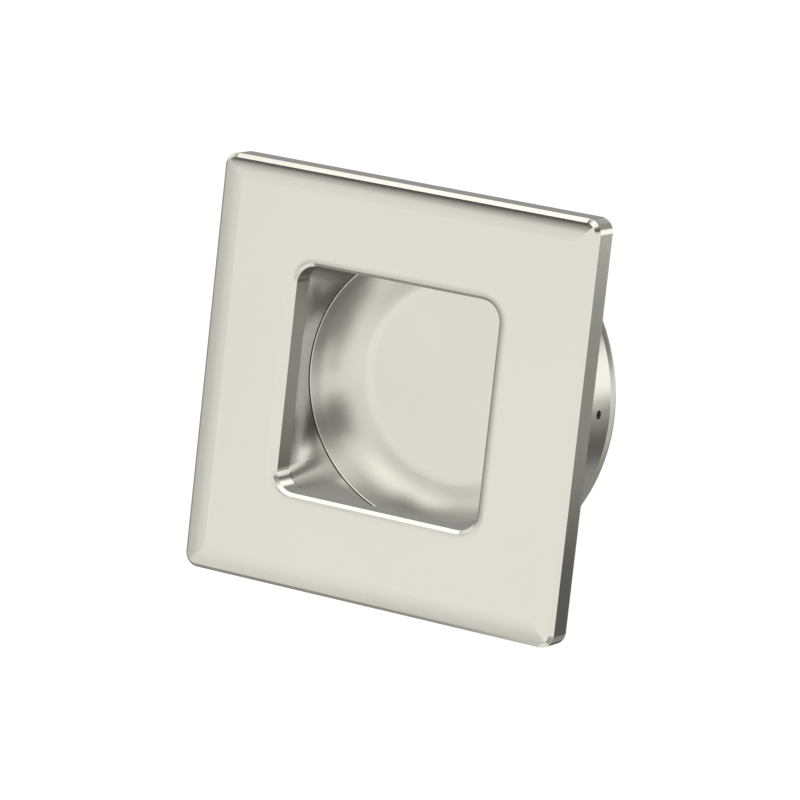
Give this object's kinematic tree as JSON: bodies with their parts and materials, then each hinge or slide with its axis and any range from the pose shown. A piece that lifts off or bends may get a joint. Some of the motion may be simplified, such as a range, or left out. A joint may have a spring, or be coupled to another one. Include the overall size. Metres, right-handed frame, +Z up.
{
  "type": "recessed pull handle",
  "caption": "Square recessed pull handle for a sliding door, with a rounded square opening that leads through a flared throat into a round finger pocket.",
  "frame": {"origin": "centre of the face plate's rear face, on the axis of the sleeve and cup", "axes": "-Y is the way the plate faces, +Y runs along the sleeve into the door, +Z is up along the plate"},
  "size_m": [0.06, 0.0232, 0.06],
  "materials": {
    "plate_metal": "satin warm nickel plating",
    "cup_metal": "satin warm nickel plating",
    "pin_metal": "dark plain steel"
  },
  "bodies": {
    "root": {"face_plate": "plate_metal", "cup": "cup_metal", "locking_pin": "pin_metal"}
  },
  "joints": []
}
